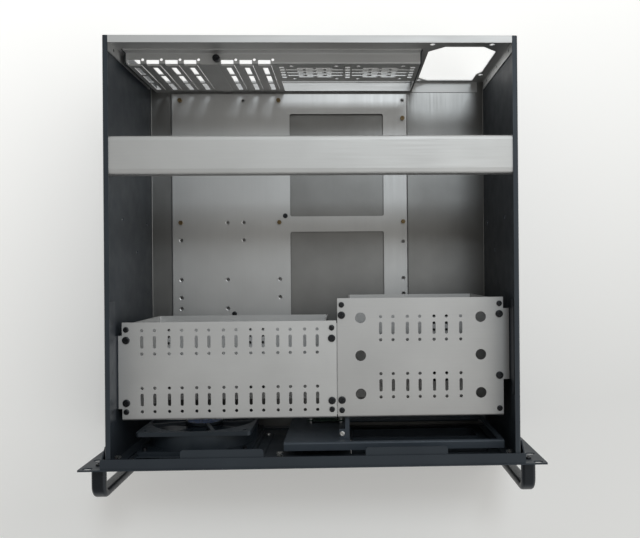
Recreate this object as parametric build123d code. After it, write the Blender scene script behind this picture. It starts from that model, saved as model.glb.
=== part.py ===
"""Empty four-unit rackmount server case with its lid off, as separate sheet-metal pieces.

Millimetres. The case lies on its bottom: +Z is up, the front panel faces -Y, the rear +Y and +X is the
right-hand side seen from the front. The origin is the middle of the bottom face.
"""
import math
import os

from build123d import *

# Driving dimensions

sheet = 1.2                   # gauge of the folded sheets
bend = 1.0                    # inner radius of a bend
body_width = 427.2            # over the side walls
case_depth = 445.0            # front face of the panel to rear face of the case
lip_width = 5.6               # rim of the side walls, folded inwards
fit = 0.05                    # radial clearance of a fastener in its hole
over = 1.0                    # a cut runs this far past both faces
flange_relief = 4.0           # front flanges stop short of the tub's corners
rail_holes = [(38.6, 116.0), (38.6, 24.0), (3.4, 64.0)]
rail_hole_d = 4.4

panel_width = 482.6           # 19 inch panel
panel_height = 177.0          # four rack units less 0.8
rim_drop = 2.0                # rim below the panel's top edge
panel_gauge = 1.5
panel_corner = 1.5
rack_slot_pitch = 465.1       # between the slot columns of the two ears
rack_slot_length = 10.3
rack_slot_width = 6.8
outer_slot_pitch = 165.1      # upper to lower rack slot
inner_slot_pitch = 101.6

frame_width = 436.8           # folded frame behind the panel
frame_top_flange = 10.3
frame_side_flange = 20.0
frame_side_bottom = 3.0
frame_corner = 14.0           # chamfer of the side flange
frame_room = 1.0              # openings of the frame are larger than the panel's
tongue_length = 85.0          # two tongues that hold the lid's front edge
tongue_reach = 8.2
tongue_offset = 95.0
tongue_round = 3.0
wall_flange = 12.0            # front edge of the tub, folded in behind the frame
pillar_x = 204.0              # hexagonal pillars on the frame's welded studs
pillar_middle_x = -36.7
pillar_drop = 13.0            # below the panel's top edge
pillar_hex = 6.0
middle_pillar = 11.0
side_pillar = 8.6
pillar_thread = 5.0           # bore at the free end

handle_x = 225.2
handle_width = 15.0
handle_thick = 8.0
handle_reach = 34.2
handle_pitch = 140.0
handle_bend = 11.0
handle_round = 3.4
handle_screw_d = 4.0
handle_screw_head = 7.0
handle_screw_rise = 2.2
handle_screw_socket = 3.0
handle_thread = 10.0
handle_thread_gap = 1.5       # the screw ends short of its threaded hole

rear_flange = 7.5             # top edge of the rear panel
rear_side_flange = 11.0
rear_side_bottom = 9.0
rear_side_gap = 3.0           # side flange to rim
rear_foot_inset = 8.0
rear_top_gap = 0.2            # top flange to the rims
recess_depth = 14.2           # rear face of the case to inner face of the slot wall
recess_left = -206.9
recess_right = 119.5
shelf_z = 123.0               # top of the shelf that carries the slot brackets
shelf_flange = 11.0
sill_z = 4.4
sill_bend = 1.6

slot_count = 8
slot_pitch = 20.32
slot_x = -196.7               # middle of the first slot
slot_screw_x = 9.4            # bracket screw, to the right of the slot's middle
slot_screw_y = 9.5            # bracket screw, in from the rear face
slot_notch = 13.6             # opening in the shelf for the bend of a bracket
slot_notch_depth = 4.6
cover_width = 14.0
cover_slit = 0.3
cover_lap = 3.0               # cover over the wall below its opening
cover_bottom = 18.0
cover_top_gap = 2.5           # slit's end to the bend of the shelf
cover_web = 1.0               # sheet between a cover and its notch
vent_width = 5.6
vent_height = 27.5
vent_gap = 5.0
vent_rows = 3
vent_start = 2.0
loose_cover_index = 4         # the fifth slot has a separate solid cover
loose_cover_width = 18.4
loose_cover_gauge = 0.8
loose_window = 12.0
loose_tab_side = 4.0          # tab of the loose cover beyond its screw
loose_tab_rear = 5.0
loose_foot = 4.0              # blade below the slot
loose_tongue = 10.0
loose_tongue_gap = 1.0
knob_d = 8.0
knob_height = 6.0
knob_collar = 1.2
knob_collar_d = 5.6
knob_chamfer = 0.6
knob_flutes = 20
knob_flute = 0.6
knob_slot = 1.0
knob_shank = 5.2

io_left = -41.5               # connector opening of the board
io_width = 158.75
io_height = 44.45
io_bottom = 9.3

rear_fan_x = [0.0, 74.6]
rear_fan_z = 89.6
rear_fan_pitch = 50.0
rear_fan_hole = 4.4
grille_rows = 7
grille_row_pitch = 5.6
grille_slot = 4.0
grille_long = 65.0
grille_short = 40.0
grille_web = 2.6
grille_web_x = 11.4           # webs of the long rows, from the fan's middle
side_vent_x = [-36.6, 37.6, 111.0]
side_vent_rows = 5
side_vent_pitch = 9.6
side_vent_width = 5.4
side_vent_height = 5.0

psu_x = 128.7                 # column of screw holes that the supply's two ends share
psu_z = 149.0
psu_short = 64.0
psu_long = 138.0
psu_offset = 10.0
psu_drop = 114.0
psu_hole = 5.8
psu_window_left = 127.0
psu_window_right = 202.0
psu_window_top = 141.6
psu_window_bottom = 9.5
psu_corner = 16.5
psu_low_corner = 11.5
psu_step = 5.0
psu_step_height = 12.0

brace_y = 100.0
brace_width = 39.6
brace_depth = 14.0
brace_front_slope = 5.6
brace_rear_slope = 4.6
brace_drop = 0.5
brace_rivet_pitch = 16.0
brace_rivet_rise = 4.9        # rivet over the brace's lower edge
brace_tab = 26.0

tray_left = -187.0
tray_right = 114.0
tray_rear = 205.0
tray_front = -105.0
tray_window_left = -36.5
tray_window_right = 82.7
tray_windows = [(179.8, 49.3), (29.7, -88.0)]
tray_window_round = 2.5
tray_rise = 3.0               # tray's underside over the bottom
board_x = -174.6              # rear left hole of the board pattern
board_y = 196.8
board_columns = [0.0, 124.46, 281.94]
board_rows = [0.0, -22.86, -154.94, -227.33]
standoff_height = 3.5
standoff_hex = 5.0
board_thread = 3.0
tray_screw_places = [(-42.7, 50.2), (-107.9, -73.8)]
spare_columns = [58.5, 78.9]  # holes of other board sizes, from the rear left one
spare_rows = [-177.3, -180.6, -247.0, -250.1, -264.0]
dimple_d = 5.4                # sheet sunk round each spare hole
dimple_depth = 0.55

cage_drop = 33.0              # rim to the top of the cages
cage_inner = 102.0            # between top and bottom plate: a drive on its edge
cage_front = -178.4
cage_split = 23.3             # joint between the two cages
cage_split_gap = 1.2
cage_fold = 8.0
cage_gap = 0.2                # frame's ends to the bends of the top plate
frame_inset = 0.6             # frame's flanges inside the top plate's edges
rail_round = 6.0              # painted rails on the side walls, which carry the cages' tabs
rail_rise = 5.0               # flange's lower edge over the cage, beyond the tab
rail_gap = 0.3
strap_gap = 1.5
strap_inset = 3.0
left_cage_rear = -73.8
left_cage_edge = 6.4          # top plate's edge from the side wall
left_frame_inset = 12.8
left_flange_height = 29.0
left_flange_front = -176.0
left_flange_rear = -51.0
left_tab = (-165.8, -87.9)    # tab to the side wall, front and rear end
left_rivet_y = [-73.8, -125.0, -166.4]
left_screw_inset = (4.4, 5.0)     # from the plate's left and right edge
left_small_inset = (9.2, 7.6)     # from its front and rear edge
left_large_inset = (18.6, 19.0)
right_cage_rear = -49.9
right_cage_edge = 8.8
right_frame_left = 37.3
right_frame_right = 187.0
right_flange_height = 15.0
right_flange_front = -154.0
right_flange_rear = -51.9
right_tab = (-139.0, -62.2)
right_rivet_y = [-63.9, -100.0, -144.0]
right_screw_inset = (4.5, 4.3)
right_small_inset = (8.0, 7.0)
right_large_inset = (18.9, 18.2)
right_large_front = 43.7          # front screw of the plate's right edge
drive_pitch = 28.95
drive_pair = 13.4
drive_group = 61.6            # between the two hole groups of a drive
drive_slot = 13.5
drive_hole = 3.5
drive_hole_offset = 12.5
left_columns = 14
left_column_x = -185.0
left_group_y = -95.1
left_floor_x = [-183.0, -84.1, -68.6]
left_floor_y = [-90.5, -98.8, -107.1, -161.5]
right_columns = 7
right_column_x = 70.5
right_group_y = -82.6
right_floor_x = [141.7, 157.0]
right_floor_y = [-76.4, -85.3, -93.8, -146.5, -155.3]
access_hole = 11.6
access_x = [48.8, 179.1]
access_y = [-71.2, -112.0, -153.3]

fan_size = 120.0
fan_thick = 25.0
fan_pitch = 105.0
fan_bore = 114.5
fan_x = -127.5
fan_z = 99.0
fan_standoff = 6.0
fan_flange = 4.5
fan_hub = 41.0
fan_blades = 7
blade_gap = 1.4
shaft_d = 4.0
shaft_clearance = 0.05
fan_hole = 4.4
fan_corner = 4.0
fan_wall = 2.0
fan_arm = 3.2
fan_arm_width = 4.0
fan_arm_turn = 20.0
fan_boss_d = 11.0
fan_boss_start = 9.0          # boss of the bearing from the fan's front
bore_past = 1.0               # bearing bore past the arms' front face
shaft_past = 0.4
rotor_front = 2.0
rotor_rear = 4.4
rotor_wall = 2.0
rotor_round = 1.2
blade_root = (52.0, 21.0)     # angle and chord at the hub
blade_tip = (34.0, 36.0)
blade_gauge = 1.8
fan_screw_head = 7.4
fan_screw_rise = 2.0
fan_screw_round = 0.9
fan_screw_reach = 7.5
fan_room = 0.4
fan_foot = 11.0
fan_foot_screw = 6.0
fan_bracket_height = 122.0
intake_rows = 13
intake_pitch = 8.4
intake_slot = 4.6
intake_inset = 1.0
intake_web = 5.0              # between the two halves of the grille

bay_setback = 16.0            # frame to the inner front bracket
bay_left = -34.0
bay_right = 202.0
bay_drop = 25.0               # rim to the top of the inner bracket
bay_flange = 8.9
bay_foot = 11.0
bay_foot_screw = (12.0, 5.0)
arm_width = 4.6               # arm to the side of the right cage
arm_root = (11.0, 10.0)       # wider part with a screw: across and along the arm
bay_count = 2
bay_width = 149.0
bay_height = 42.5
bay_gap = 8.8                 # bays below the underside of the cage's top
bay_middle_x = 112.2
blank_clearance = 0.3
blank_face = 2.5
blank_depth = 12.0
blank_wall = 2.0
blank_round = 0.8
clip_length = 12.0
clip_reach = 1.0
clip_root = 0.2
clip_gap = 0.2
clip_thick = 2.2
bay_room = (1.0, 9.5)         # bracket's window beyond the bays, left and right
bay_room_low = 2.0
bay_room_top = 4.0

port_x = 8.0                  # connector board behind the front panel
port_share = 0.226            # heights as shares of the panel's
port_pitch = 16.0
port_width = 13.2
port_height = 5.8
port_clearance = 0.3
port_wall = 0.5
port_depth = 12.0
port_tongue = (0.2, 1.6)      # underside and top from the port's middle
port_tongue_inset = 1.2
port_tongue_start = 1.0
port_cut_width = 36.0
port_cut_height = 12.0
spacer_d = 5.5
spacer_inset = 4.0
spacer_past = 2.0
header_width = 22.0
header_height = 6.0
header_depth = 6.0
header_rise = 10.0            # over the ports
header_wall = 1.0
header_floor = 2.0
board_gauge = 1.6
board_width = 44.0
board_height = 36.0
board_gap = 2.0
power_share = 0.667
reset_share = 0.52
button_x = 0.0
power_d = 14.0
reset_d = 6.0
button_stand = 2.6
button_travel = 1.8
button_clearance = 0.3
switch_size = 12.0
switch_depth = 6.0
switch_corner = 0.8
stem_d = 4.0
stem_gap = 0.3
guide_depth = 4.0
button_round = 0.7
button_skirt = 3.0
led_share = 0.396
led_pitch = 10.0
led_count = 3
led_d = 3.0
led_stand = 0.8
led_length = 9.0
led_round = 0.7
led_collar = 1.0

rivet_d = 3.2
rivet_head = 6.4
rivet_rise = 0.9
rivet_round = 0.5
rivet_shares = (0.17, 0.5, 0.83)
screw_d = 3.0
small_head = 6.0
large_head = 8.0
head_height = 1.9
head_round = 1.0

# Derived places

half = body_width / 2
body_height = panel_height - rim_drop
inner = half - sheet
rim = body_height - sheet
rear_y = case_depth / 2
front_y = -rear_y
panel_back = front_y + panel_gauge
frame_back = panel_back + sheet
pillar_z = panel_height - pillar_drop
port_z = panel_height * port_share
led_z = panel_height * led_share
reset_z = panel_height * reset_share
power_z = panel_height * power_share
rear_inner = rear_y - sheet
slot_wall = rear_y - recess_depth
lip_edge = half - lip_width
floor_top = sheet
foot_top = floor_top + sheet
tray_top = foot_top + tray_rise
cage_top_z = body_height - cage_drop
cage_under = cage_top_z - sheet
arm_z = cage_top_z - cage_fold - cage_gap - sheet
cage_floor = cage_under - cage_inner
left_cage_left = -inner + left_cage_edge
left_cage_right = cage_split - cage_split_gap / 2
right_cage_left = cage_split + cage_split_gap / 2
right_cage_right = inner - right_cage_edge
left_frame_left = left_cage_left + left_frame_inset
left_frame_right = left_cage_right - left_frame_inset
bay_front_face = frame_back + bay_setback
bay_back = bay_front_face + sheet
panel_middle = panel_height / 2
bay_side = bay_middle_x - bay_width / 2
bay_window_height = bay_count * bay_height
bay_top = body_height - bay_drop
bay_bottom = cage_under - bay_gap - bay_window_height
fan_front = frame_back + fan_standoff + sheet
fan_rear = fan_front + fan_thick
cage_clear = sheet + bend + cage_gap
arm_side = right_frame_left - sheet


# Building blocks

def block(x0, x1, y0, y1, z0, z1):
    """Box between two corners."""
    size = Box(x1 - x0, y1 - y0, z1 - z0)
    return Pos((x0 + x1) / 2, (y0 + y1) / 2, (z0 + z1) / 2) * size


def rod(x, y, z, d, length, axis):
    """Cylinder from a point along +X, +Y or +Z, or against it with a negative length."""
    turn = {"x": Rot(0, 90, 0), "y": Rot(-90, 0, 0), "z": Rot(0, 0, 0)}[axis]
    body = Cylinder(d / 2, abs(length), align=(Align.CENTER, Align.CENTER, Align.MIN))
    if length < 0:
        body = Pos(0, 0, length) * body
    return Pos(x, y, z) * turn * body


def slot_z(x, y, z, length, width, depth, along):
    """Round-ended slot cut downwards from z, long in X or Y."""
    turn = 0 if along == "x" else 90
    return Pos(x, y, z - depth) * extrude(Rot(0, 0, turn) * SlotOverall(length, width), depth)


def slot_y(x, y, z, length, width, depth):
    """Round-ended slot through a wall that stands across Y, long in X."""
    face = Plane((x, y, z), x_dir=(1, 0, 0), z_dir=(0, -1, 0)) * SlotOverall(length, width)
    return extrude(face, depth, dir=(0, 1, 0))


def folded_along_y(points, y0, y1, radius=bend):
    """Sheet folded along lines in Y, from the middle line of its section in X and Z."""
    line = FilletPolyline(*points, radius=radius + sheet / 2)
    section = Plane.XZ * trace(line, line_width=sheet)
    return Pos(0, y0, 0) * extrude(section, y1 - y0, dir=(0, 1, 0))


def folded_along_x(points, x0, x1):
    """Sheet folded along lines in X, from the middle line of its section in Y and Z."""
    line = FilletPolyline(*points, radius=bend + sheet / 2)
    section = Plane.YZ * trace(line, line_width=sheet)
    return Pos(x0, 0, 0) * extrude(section, x1 - x0, dir=(1, 0, 0))


def rivet(x, y, z, side, grip):
    """Blind rivet through a side wall, with its low head outside; side is -1 or 1."""
    shank = rod(x, y, z, rivet_d, -side * grip, "x")
    head = rod(x, y, z, rivet_head, side * rivet_rise, "x")
    outer = head.edges().filter_by(GeomType.CIRCLE).group_by(Axis.X)[-1 if side > 0 else 0]
    return shank + fillet(outer, rivet_round)


def rivet_hole(x, y, z, side, grip):
    return rod(x + side * over, y, z, rivet_d + 2 * fit, -side * (grip + 2 * over), "x")


def top_screw(x, y, z, head, length):
    """Pan-head screw driven down into a face at z, with a cross recess."""
    cap = rod(x, y, z, head, head_height, "z")
    cap = fillet(cap.edges().filter_by(GeomType.CIRCLE).group_by(Axis.Z)[-1], head_round)
    arm = head / 2
    cross = Pos(x, y, z + head_height) * (Box(arm, arm / 4, head_height) + Box(arm / 4, arm, head_height))
    return cap + rod(x, y, z, screw_d, -length, "z") - cross


def screw_holes(places, z):
    """Screw holes down through a sheet whose top is at z."""
    return [rod(x, y, z + over, screw_d + 2 * fit, -sheet - 2 * over, "z") for x, y in places]


def drive_pattern(columns, first_x, group_y, z):
    """Two groups of hole, slot and hole in each drive column of a cage's plate."""
    cuts = []
    for column in range(columns):
        x = first_x + column // 2 * drive_pitch + column % 2 * drive_pair
        for group in range(2):
            y = group_y - group * drive_group
            cuts.append(slot_z(x, y, z + over, drive_slot, drive_hole, sheet + 2 * over, "y"))
            for end in (y - drive_hole_offset, y + drive_hole_offset):
                cuts.append(rod(x, end, z + over, drive_hole, -sheet - 2 * over, "z"))
    return cuts


# Places of fasteners that several pieces share

brace_rivet_grip = 2 * sheet
brace_rivet_y = [brace_y - brace_rivet_pitch / 2, brace_y + brace_rivet_pitch / 2]
brace_rivets = [(y, rim - brace_depth + brace_rivet_rise) for y in brace_rivet_y]
rear_rivets = [(rear_inner - rear_side_flange / 2, body_height * share) for share in rivet_shares]
front_rivets = [panel_height * share for share in rivet_shares]
panel_pillars = [(-pillar_x, frame_back + sheet, side_pillar), (pillar_middle_x, frame_back, middle_pillar),
                 (pillar_x, frame_back + sheet, side_pillar)]
left_wall_rivets = [(y, cage_top_z + left_flange_height / 2) for y in left_rivet_y]
right_wall_rivets = [(y, cage_top_z + right_flange_height / 2) for y in right_rivet_y]
left_screw_x = [left_cage_left + left_screw_inset[0], left_cage_right - left_screw_inset[1]]
right_screw_x = [right_cage_left + right_screw_inset[0], right_cage_right - right_screw_inset[1]]
left_small_y = [cage_front + left_small_inset[0], left_cage_rear - left_small_inset[1]]
left_large_y = [cage_front + left_large_inset[0], left_cage_rear - left_large_inset[1]]
right_small_y = [cage_front + right_small_inset[0], right_cage_rear - right_small_inset[1]]
right_large_y = [cage_front + right_large_inset[0], right_cage_rear - right_large_inset[1]]
left_small = [(x, y) for x in left_screw_x for y in left_small_y]
left_large = [(x, y) for x in left_screw_x for y in left_large_y]
right_small = [(x, y) for x in right_screw_x for y in right_small_y]
right_large = [(right_screw_x[0], y) for y in right_large_y]
right_large += [(right_screw_x[1], cage_front + right_large_front), (right_screw_x[1], right_large_y[1])]
handle_z = [panel_middle - handle_pitch / 2, panel_middle + handle_pitch / 2]
handle_ends = [(x, z) for x in (-handle_x, handle_x) for z in handle_z]
bay_foot_x = [bay_left + bay_foot_screw[0], bay_middle_x, bay_right - bay_foot_screw[0]]
bay_foot_screws = [(x, bay_front_face - bay_foot_screw[1]) for x in bay_foot_x]
arm_screw = (arm_side - arm_root[0] + small_head / 2 + fit, bay_back + arm_root[1] / 2)
fan_corners = [(fan_x + i * fan_pitch / 2, fan_z + j * fan_pitch / 2) for i in (-1, 1) for j in (-1, 1)]
standoff_places = [(board_x + board_columns[i], board_y + board_rows[j])
                   for i, j in ((0, 0), (1, 0), (2, 1), (0, 2), (1, 2), (2, 2))]
slot_middles = [slot_x + k * slot_pitch for k in range(slot_count)]
led_x = [button_x + (k - (led_count - 1) / 2) * led_pitch for k in range(led_count)]


def wall_cuts():
    """Rivet holes through both side walls."""
    cuts = []
    for side in (-1, 1):
        for y, z in brace_rivets:
            cuts.append(rivet_hole(side * half, y, z, side, brace_rivet_grip))
        for y, z in rear_rivets:
            cuts.append(rivet_hole(side * half, y, z, side, brace_rivet_grip))
    for y, z in left_wall_rivets:
        cuts.append(rivet_hole(-half, y, z, -1, brace_rivet_grip))
    for y, z in right_wall_rivets:
        cuts.append(rivet_hole(half, y, z, 1, brace_rivet_grip))
    return cuts


# Body of the case

def make_tub():
    """Bottom and both side walls, folded from one sheet, with rims and front flanges."""
    h = half - sheet / 2
    z = body_height - sheet / 2
    points = [(-lip_edge, z), (-h, z), (-h, sheet / 2), (h, sheet / 2), (h, z), (lip_edge, z)]
    tub = folded_along_y(points, frame_back, rear_y)
    front = frame_back + sheet
    for side in (-1, 1):
        x0, x1 = sorted((side * (inner - wall_flange), side * (inner + sheet / 2)))
        tub += block(x0, x1, frame_back, front, wall_flange + flange_relief, rim - flange_relief)
    tub += block(-inner + flange_relief, inner - flange_relief, frame_back, front, sheet / 2, wall_flange)
    cuts = wall_cuts()
    for side in (-1, 1):
        for y, z in rail_holes:
            cuts.append(rod(side * (half + over), y, z, rail_hole_d, -side * (sheet + 2 * over), "x"))
    for x in (-pillar_x, pillar_x):
        cuts.append(rod(x, frame_back - over, pillar_z, screw_d + 2 * fit, sheet + 2 * over, "y"))
    for x, y in tray_screw_places + bay_foot_screws:
        cuts.append(rod(x, y, -over, screw_d + 2 * fit, sheet + 2 * over, "z"))
    return tub - cuts - front_rivet_holes(frame_back - over, sheet + 2 * over)


def make_rear_panel():
    """Rear panel with its four folded edges, the supply window and the opening of the slot recess."""
    top = lip_edge - rear_top_gap
    panel = block(-inner, inner, rear_inner, rear_y, floor_top, rim)
    panel = chamfer(panel.edges().filter_by(Axis.Y), bend)
    panel += block(-top, top, rear_y - rear_flange, rear_y, rim, body_height)
    panel += block(-inner + rear_foot_inset, inner - rear_foot_inset, slot_wall, rear_y, floor_top, foot_top)
    fold = panel.edges().filter_by(Axis.X).sort_by_distance((0, rear_inner, foot_top))[0]
    panel = fillet(fold, sill_bend)
    for side in (-1, 1):
        x0, x1 = sorted((side * inner, side * (inner - sheet)))
        panel += block(x0, x1, rear_inner - rear_side_flange, rear_y, rear_side_bottom, rim - rear_side_gap)
    recess = block(recess_left + sheet, recess_right - sheet, rear_inner - over, rear_y + over,
                   sill_z, shelf_z - sheet)
    left, right = psu_window_left, psu_window_right
    top, bottom, c = psu_window_top, psu_window_bottom, psu_corner
    step = psu_z - psu_drop
    outline = Polyline((left + c, top), (right - c, top), (right, top - c), (right, step + psu_step_height),
                       (right - psu_step, step), (right - psu_step, bottom), (left + psu_low_corner, bottom),
                       (left, bottom + psu_low_corner), (left, top - c), close=True)
    face = Plane((0, rear_inner - over, 0), x_dir=(1, 0, 0), z_dir=(0, -1, 0)) * make_face(outline)
    cuts = [recess, extrude(face, sheet + 2 * over, dir=(0, 1, 0))]
    supply = [(psu_x, psu_z), (psu_x + psu_short, psu_z), (psu_x, psu_z - psu_long),
              (psu_x + psu_short + psu_offset, psu_z - psu_drop)]
    for x, z in supply:
        cuts.append(rod(x, rear_inner - over, z, psu_hole, sheet + 2 * over, "y"))
    for side in (-1, 1):
        for y, z in rear_rivets:
            cuts.append(rivet_hole(side * half, y, z, side, brace_rivet_grip))
    return panel - cuts


def make_slot_panel():
    """Recessed wall with the expansion slots, the shelf over it and the connector opening."""
    back = slot_wall + sheet
    points = [(slot_wall + sheet / 2, foot_top), (slot_wall + sheet / 2, shelf_z - sheet / 2),
              (rear_inner - sheet / 2, shelf_z - sheet / 2), (rear_inner - sheet / 2, shelf_z + shelf_flange)]
    panel = folded_along_x(points, recess_left, recess_right)
    for x in (recess_left, recess_right - sheet):
        panel += block(x, x + sheet, slot_wall + bend, rear_inner, foot_top + sill_bend, shelf_z - sheet / 2)
    cuts = [block(io_left, io_left + io_width, slot_wall - over, back + over,
                  io_bottom, io_bottom + io_height)]
    cover_top = shelf_z - bend - sheet - cover_top_gap
    covers = []
    for k, x in enumerate(slot_middles):
        notch = block(x - slot_notch / 2, x + slot_notch / 2, slot_wall - over, slot_wall + slot_notch_depth,
                      cover_top + cover_web, shelf_z + over)
        screw_hole = rod(x + slot_screw_x, rear_y - slot_screw_y, shelf_z + over, screw_d + 2 * fit,
                         -sheet - 2 * over, "z")
        cuts += [notch, screw_hole]
        if k == loose_cover_index:
            cuts.append(block(x - loose_window / 2, x + loose_window / 2, slot_wall - over, back + over,
                              cover_bottom, cover_top + cover_web + over))
            continue
        w = cover_width / 2
        cuts.append(block(x - w - cover_slit, x + w + cover_slit, slot_wall - over, back + over,
                          cover_bottom, cover_top))
        cover = block(x - w, x + w, slot_wall - sheet, slot_wall,
                      cover_bottom - cover_lap, cover_top + cover_web)
        for row in range(vent_rows):
            z0 = cover_bottom + vent_start + row * (vent_height + vent_gap)
            cover -= block(x - vent_width / 2, x + vent_width / 2, slot_wall - sheet - over, slot_wall + over,
                           z0, z0 + vent_height)
        covers.append(cover)
    for middle in rear_fan_x:
        for x in (middle - rear_fan_pitch / 2, middle + rear_fan_pitch / 2):
            for z in (rear_fan_z - rear_fan_pitch / 2, rear_fan_z + rear_fan_pitch / 2):
                cuts.append(rod(x, slot_wall - over, z, rear_fan_hole, sheet + 2 * over, "y"))
        for x, z, length in grille_slots(middle):
            cuts.append(slot_y(x, slot_wall - over, z, length, grille_slot, sheet + 2 * over))
    for row in range(side_vent_rows):
        z = rear_fan_z + (row - (side_vent_rows - 1) / 2) * side_vent_pitch
        for x in side_vent_x:
            cuts.append(block(x - side_vent_width / 2, x + side_vent_width / 2, slot_wall - over, back + over,
                              z - side_vent_height / 2, z + side_vent_height / 2))
    return panel - cuts + covers


def grille_slots(middle):
    """Middle, height and length of each slot of a rear fan's grille, whose rows are staggered."""
    slots = []
    for row in range(grille_rows):
        z = rear_fan_z + (row - (grille_rows - 1) / 2) * grille_row_pitch
        if row % 2 == 0:
            length = (grille_short - grille_web) / 2
            slots += [(middle + side * (length + grille_web) / 2, z, length) for side in (-1, 1)]
        else:
            inner_end = grille_web_x + grille_web / 2
            length = grille_long / 2 - inner_end
            slots.append((middle, z, 2 * grille_web_x - grille_web))
            slots += [(middle + side * (inner_end + length / 2), z, length) for side in (-1, 1)]
    return slots


def make_slot_cover():
    """Solid blanking bracket of the fifth slot: a blade inside the slot wall and a tab on the shelf."""
    x = slot_middles[loose_cover_index]
    w = loose_cover_width / 2
    g = loose_cover_gauge
    t = loose_tongue / 2
    foot = cover_bottom - loose_foot
    tab = block(x - w, x + slot_screw_x + loose_tab_side, slot_wall - g,
                rear_y - slot_screw_y + loose_tab_rear, shelf_z, shelf_z + g)
    blade = block(x - w, x + w, slot_wall - g, slot_wall, foot, shelf_z + g)
    tongue = block(x - t, x + t, slot_wall - g, slot_wall, foot_top + loose_tongue_gap, foot)
    hole = rod(x + slot_screw_x, rear_y - slot_screw_y, shelf_z - over, screw_d + 2 * fit, g + 2 * over, "z")
    return tab + blade + tongue - hole


def make_thumbscrew():
    """Knurled knob that holds the slot cover on the shelf."""
    x = slot_middles[loose_cover_index] + slot_screw_x
    y = rear_y - slot_screw_y
    z = shelf_z + loose_cover_gauge
    knob = rod(x, y, z + knob_collar, knob_d, knob_height, "z")
    knob = chamfer(knob.edges().filter_by(GeomType.CIRCLE), knob_chamfer)
    cuts = [Pos(x, y, z + knob_collar + knob_height) * Box(knob_collar_d, knob_slot, 2 * knob_slot)]
    for k in range(knob_flutes):
        a = 2 * math.pi * k / knob_flutes
        cuts.append(rod(x + knob_d / 2 * math.cos(a), y + knob_d / 2 * math.sin(a), z + knob_collar / 2,
                        knob_flute, knob_height + knob_collar, "z"))
    collar = rod(x, y, z, knob_collar_d, knob_collar, "z")
    return knob - cuts + collar + rod(x, y, z, screw_d, -knob_shank, "z")


def make_brace():
    """Cross brace under the rims: a shallow folded channel with an end tab on each side wall."""
    w = brace_width / 2
    g = sheet / 2
    top = rim - g
    low = top - brace_drop
    foot = rim - brace_depth
    front, rear = brace_y - w, brace_y + w
    points = [(front + g, foot), (front + g, low), (front + brace_front_slope, top),
              (rear - brace_rear_slope, top), (rear - g, low), (rear - g, foot)]
    brace = folded_along_x(points, -inner + sheet, inner - sheet)
    cuts = []
    for side in (-1, 1):
        x0, x1 = sorted((side * inner, side * (inner - 2 * sheet)))
        brace += block(x0, x1, brace_y - brace_tab / 2, brace_y + brace_tab / 2, foot, rim - bend)
        for y, z in brace_rivets:
            cuts.append(rivet_hole(side * half, y, z, side, brace_rivet_grip))
    return brace - cuts


# Board tray

def make_tray():
    """Plate with its side edges folded down to the bottom, two windows and the board's hole pattern."""
    g = sheet / 2
    points = [(tray_left + g, floor_top), (tray_left + g, tray_top - g),
              (tray_right - g, tray_top - g), (tray_right - g, floor_top)]
    tray = folded_along_y(points, tray_front, tray_rear)
    cuts = []
    for y1, y0 in tray_windows:
        window = block(tray_window_left, tray_window_right, y0, y1, floor_top - over, tray_top + over)
        cuts.append(fillet(window.edges().filter_by(Axis.Z), tray_window_round))
    for x, y in standoff_places:
        cuts.append(rod(x, y, floor_top, board_thread + 2 * fit, tray_top - floor_top + over, "z"))
    for x, y in tray_screw_places:
        cuts.append(rod(x, y, floor_top, screw_d + 2 * fit, tray_top - floor_top + over, "z"))
    for x, y in spare_holes():
        cuts.append(rod(x, y, floor_top, board_thread, tray_top - floor_top + over, "z"))
        dimple = Cone(board_thread / 2, dimple_d / 2, dimple_depth)
        cuts.append(Pos(x, y, tray_top - dimple_depth / 2) * dimple)
    return tray - cuts


def spare_holes():
    """Threaded holes of other board sizes, which carry no standoff."""
    c, r, sc, sr = board_columns, board_rows, spare_columns, spare_rows
    pairs = [(c[0], r[3]), (c[1], r[3]), (c[2], r[3]), (c[2], r[0]), (sc[1], r[0]), (sc[0], r[2]),
             (sc[1], r[2]), (c[0], sr[0]), (sc[1], sr[0]), (c[2], sr[1]), (sc[0], r[3]), (c[0], sr[3]),
             (c[1], sr[3]), (c[0], sr[4]), (sc[0], sr[4]), (c[2], sr[2])]
    return [(board_x + x, board_y + y) for x, y in pairs]


def make_standoffs():
    """Hexagonal brass standoffs of the board, one solid each."""
    group = []
    for x, y in standoff_places:
        post = extrude(RegularPolygon(standoff_hex / 2, 6, major_radius=False), standoff_height)
        post = Pos(x, y, tray_top) * post
        post -= rod(x, y, tray_top + 2 * over, board_thread, standoff_height, "z")
        group.append(post + rod(x, y, tray_top, board_thread, -sheet, "z"))
    return group


def make_tray_screws():
    return [top_screw(x, y, tray_top, small_head, tray_top) for x, y in tray_screw_places]


# Drive cages

def cage_plate(x0, x1, y0, y1):
    """Top plate of a cage with its front edge folded down."""
    z = cage_top_z - sheet / 2
    points = [(y0 + sheet / 2, cage_top_z - cage_fold), (y0 + sheet / 2, z), (y1, z)]
    return folded_along_x(points, x0, x1)


def wall_tab(side, edge, tab_y):
    """Flat tab from a plate's outer edge to the rail on the side wall."""
    x0, x1 = sorted((side * edge, side * (inner - sheet - bend - rail_gap)))
    return block(x0, x1, tab_y[0], tab_y[1], cage_under, cage_top_z)


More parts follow.
